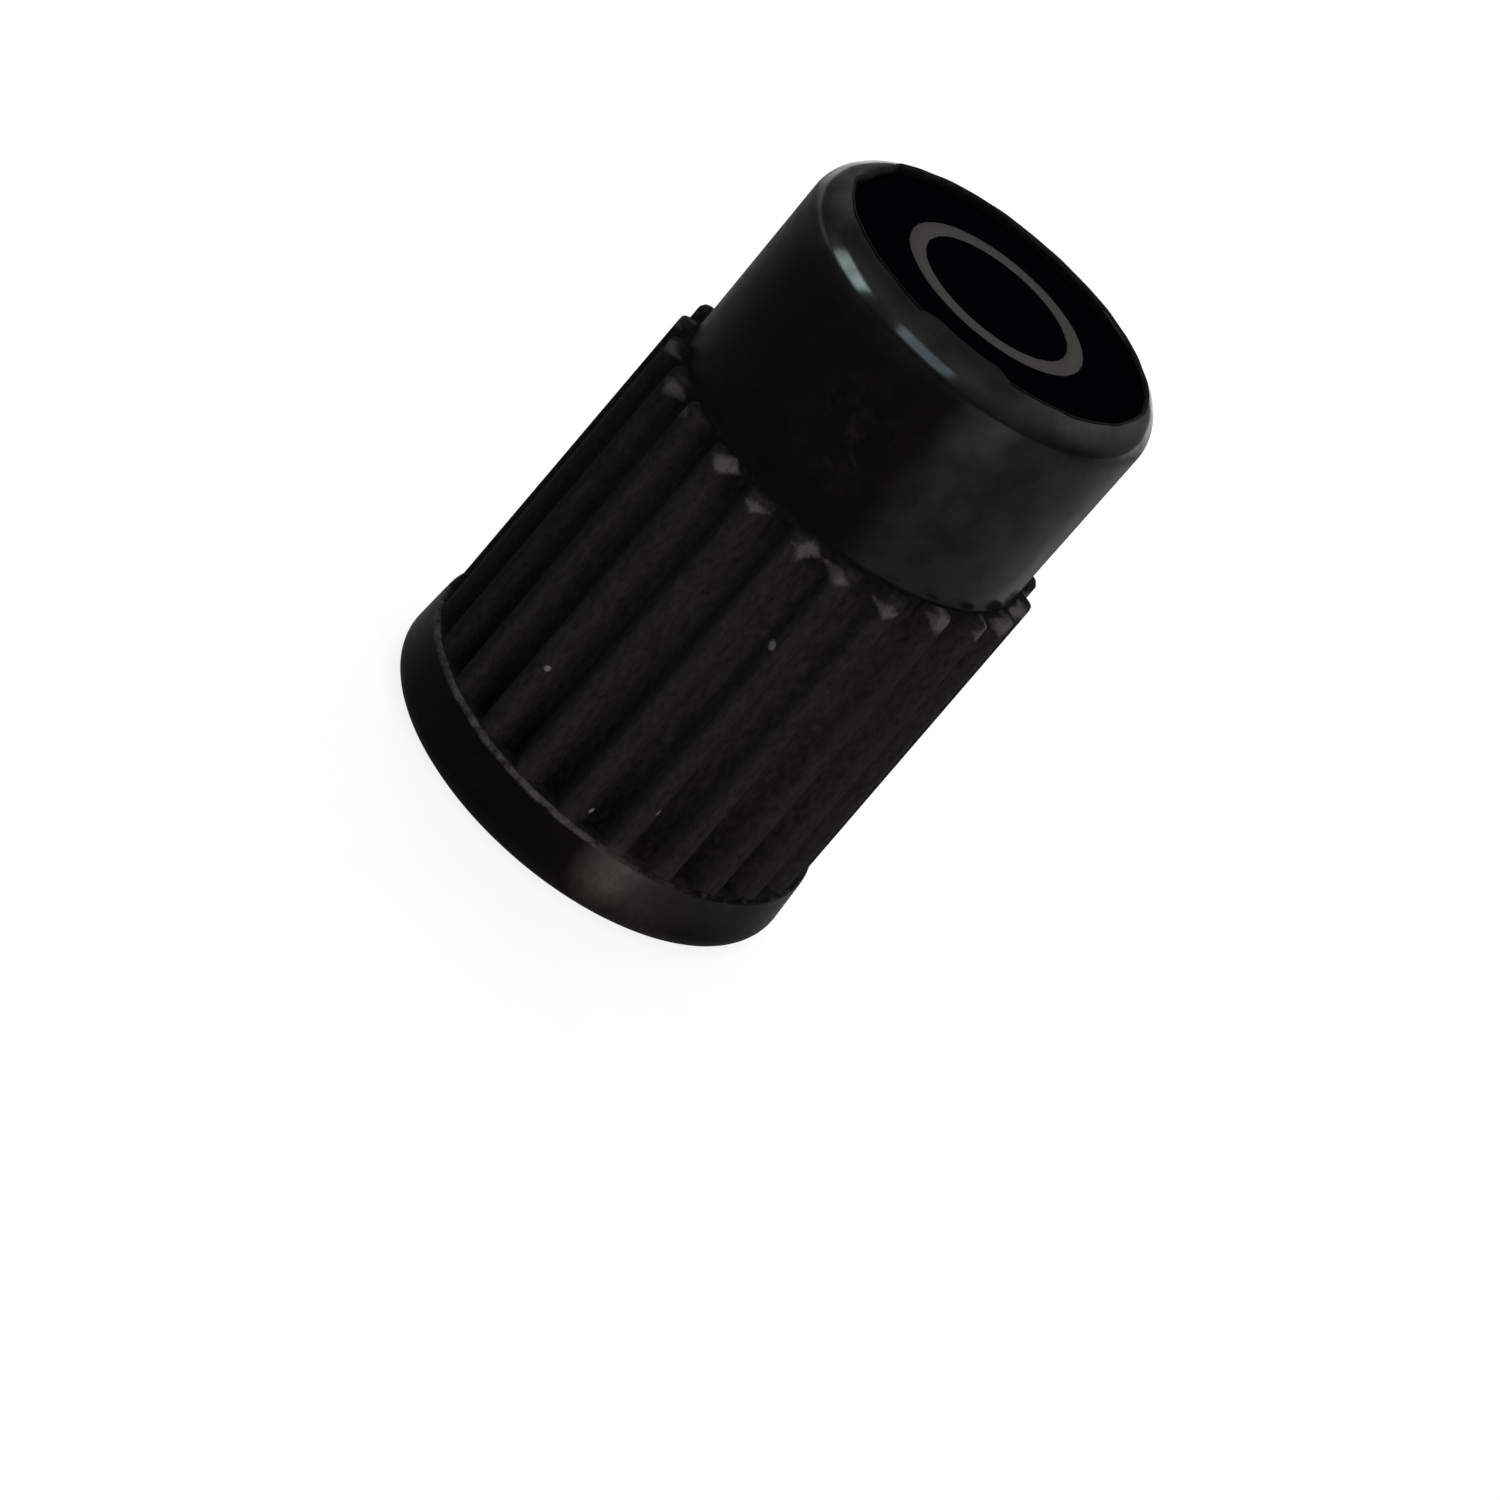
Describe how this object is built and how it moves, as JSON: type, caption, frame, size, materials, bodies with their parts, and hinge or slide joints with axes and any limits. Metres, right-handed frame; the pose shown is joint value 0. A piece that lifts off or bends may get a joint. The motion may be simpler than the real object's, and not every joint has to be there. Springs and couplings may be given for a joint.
{
  "type": "tyre valve cap",
  "caption": "Long round plastic valve cap with a ribbed grip, smooth collar, inlaid end disc, threaded bore and rubber sealing washer, to close a tyre valve stem.",
  "frame": {"origin": "middle of the open end's foot ring, on the plane that the cap stands on", "axes": "+Z along the bore's axis from the open end to the closed end; one rib's crest lies on +X"},
  "size_m": [0.011, 0.011, 0.0161],
  "materials": {
    "shell_plastic": "moulded black, satin",
    "washer_rubber": "moulded black rubber",
    "disc_plastic": "smooth deep black with grey print"
  },
  "bodies": {
    "root": {"cap_shell": "shell_plastic", "sealing_washer": "washer_rubber", "end_disc": "disc_plastic"}
  },
  "joints": []
}
